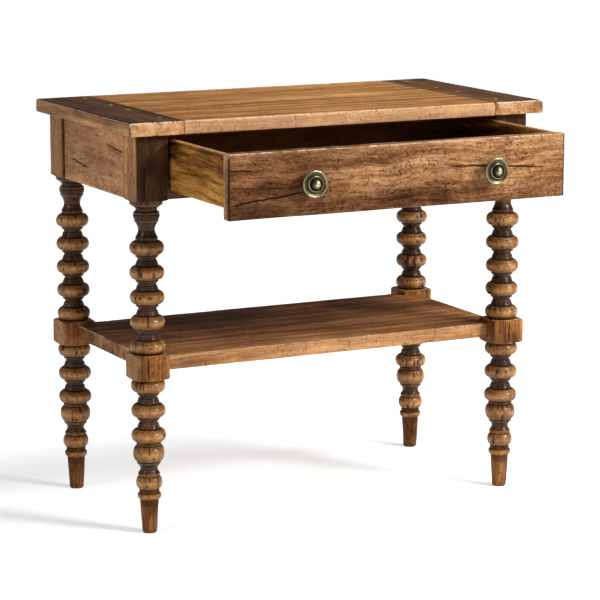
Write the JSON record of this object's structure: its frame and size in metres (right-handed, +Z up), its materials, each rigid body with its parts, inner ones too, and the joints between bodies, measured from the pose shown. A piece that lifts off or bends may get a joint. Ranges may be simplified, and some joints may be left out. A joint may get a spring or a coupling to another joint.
{
  "type": "side table with drawer",
  "caption": "Small wooden side table with bead-turned legs, a pegged breadboard top, a low shelf and a sliding drawer with round metal knobs.",
  "frame": {"origin": "on the floor, in the middle of the whole table's box with the drawer at its drawn opening of 200 mm", "axes": "+Z up, -Y out of the front (the way the drawer opens), +X along the width, to the right of someone who faces the front"},
  "size_m": [0.711, 0.5892, 0.635],
  "materials": {
    "top_wood": "worn wax over long open grain",
    "breadboard_wood": "dark worn wax",
    "peg_wood": "pale end grain",
    "leg_wood": "dark wax in the hollows, rubbed beads",
    "apron_wood": "worn wax",
    "shelf_wood": "worn wax",
    "drawer_front_wood": "distressed, waxed",
    "inner_wood": "bare dry wood",
    "knob_brass": "aged, rubbed on the rims",
    "screw_steel": "plain"
  },
  "bodies": {
    "table": {"top_panel": "top_wood", "breadboard_end_left": "breadboard_wood", "breadboard_end_right": "breadboard_wood", "breadboard_peg_left_1": "peg_wood", "breadboard_peg_left_2": "peg_wood", "breadboard_peg_left_3": "peg_wood", "breadboard_peg_left_4": "peg_wood", "breadboard_peg_right_1": "peg_wood", "breadboard_peg_right_2": "peg_wood", "breadboard_peg_right_3": "peg_wood", "breadboard_peg_right_4": "peg_wood", "leg_front_left": "leg_wood", "leg_front_right": "leg_wood", "leg_back_left": "leg_wood", "leg_back_right": "leg_wood", "side_apron_left": "apron_wood", "side_apron_right": "apron_wood", "back_apron": "apron_wood", "lower_front_rail": "apron_wood", "upper_front_rail": "inner_wood", "drawer_runner_left": "inner_wood", "drawer_runner_right": "inner_wood", "drawer_guide_left": "inner_wood", "drawer_guide_right": "inner_wood", "drawer_kicker_left": "inner_wood", "drawer_kicker_right": "inner_wood", "shelf_board_front": "shelf_wood", "shelf_board_back": "shelf_wood"},
    "drawer": {"drawer_front": "drawer_front_wood", "drawer_side_left": "inner_wood", "drawer_side_right": "inner_wood", "drawer_back": "inner_wood", "drawer_bottom": "inner_wood", "knob_left": "knob_brass", "knob_right": "knob_brass", "knob_screw_left": "screw_steel", "knob_screw_right": "screw_steel"}
  },
  "joints": [
    {"name": "drawer_slide", "type": "slide", "parent": "table", "child": "drawer", "axis": [0, -1, 0], "range_m": [-0.2, 0.04]}
  ]
}
